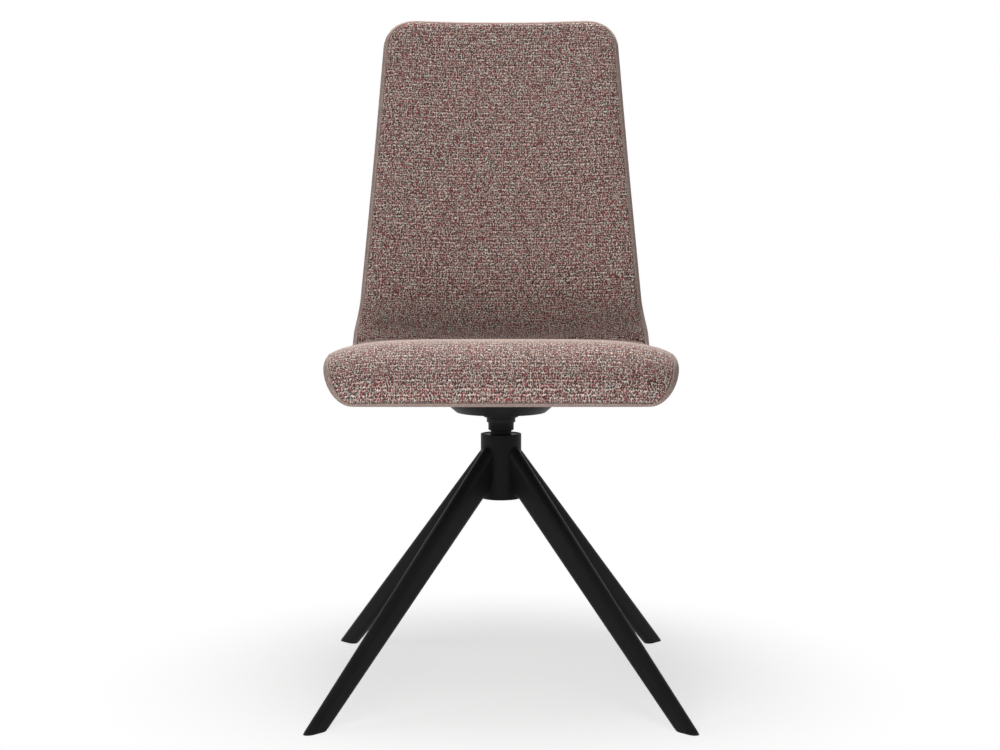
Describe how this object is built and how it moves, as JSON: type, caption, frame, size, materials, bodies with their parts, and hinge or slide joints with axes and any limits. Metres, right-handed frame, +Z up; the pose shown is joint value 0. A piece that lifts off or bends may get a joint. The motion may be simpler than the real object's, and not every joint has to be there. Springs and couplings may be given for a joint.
{
  "type": "swivel dining chair",
  "caption": "Armless high-back dining chair with a one-piece upholstered shell that swivels on a splayed steel leg base.",
  "frame": {"origin": "on the floor, in the middle of the chair's bounding box; the swivel axis is 35.7 mm in front of it", "axes": "+Z up, the chair faces -Y, +X to the right seen from the front"},
  "size_m": [0.5006, 0.5768, 0.9591],
  "materials": {
    "tweed": "looped tweed in grey, beige, maroon and black",
    "tweed_edge": "the same looped tweed as a narrow edge strip",
    "plywood": "moulded beech plywood",
    "black_paint": "black powder coat, fine texture",
    "black_plastic": "black moulded plastic",
    "steel": "ground bearing steel",
    "zinc": "zinc plated",
    "nylon": "natural nylon"
  },
  "bodies": {
    "base": {"leg_front_right": "black_paint", "leg_rear_right": "black_paint", "leg_rear_left": "black_paint", "leg_front_left": "black_paint", "glide_front_right": "black_plastic", "glide_rear_right": "black_plastic", "glide_rear_left": "black_plastic", "glide_front_left": "black_plastic", "hub_tube": "black_paint", "hub_bottom_cap": "black_plastic", "bearing_plate": "steel", "thrust_race_lower": "steel", "ball_cage": "steel", "lower_bush": "nylon", "upper_bush": "black_plastic"},
    "seat": {"spindle": "black_paint", "thrust_race_upper": "steel", "retaining_washer": "zinc", "retaining_clip": "steel", "seat_socket": "black_paint", "cover_ring": "black_plastic", "dish_cover": "black_plastic", "mounting_plate": "black_paint", "plate_bolt_1": "zinc", "plate_bolt_2": "zinc", "plate_bolt_3": "zinc", "plate_bolt_4": "zinc", "tee_nut_1": "zinc", "tee_nut_2": "zinc", "tee_nut_3": "zinc", "tee_nut_4": "zinc", "plywood_shell": "plywood", "seat_cushion": "tweed", "back_cushion": "tweed", "under_cover": "tweed", "rear_cover": "tweed", "edge_band_left": "tweed_edge", "edge_band_right": "tweed_edge"}
  },
  "joints": [
    {"name": "seat_swivel", "type": "hinge", "parent": "base", "child": "seat", "pos_m": [0, -0.03574, 0.334], "axis": [0, 0, 1], "continuous": true}
  ]
}
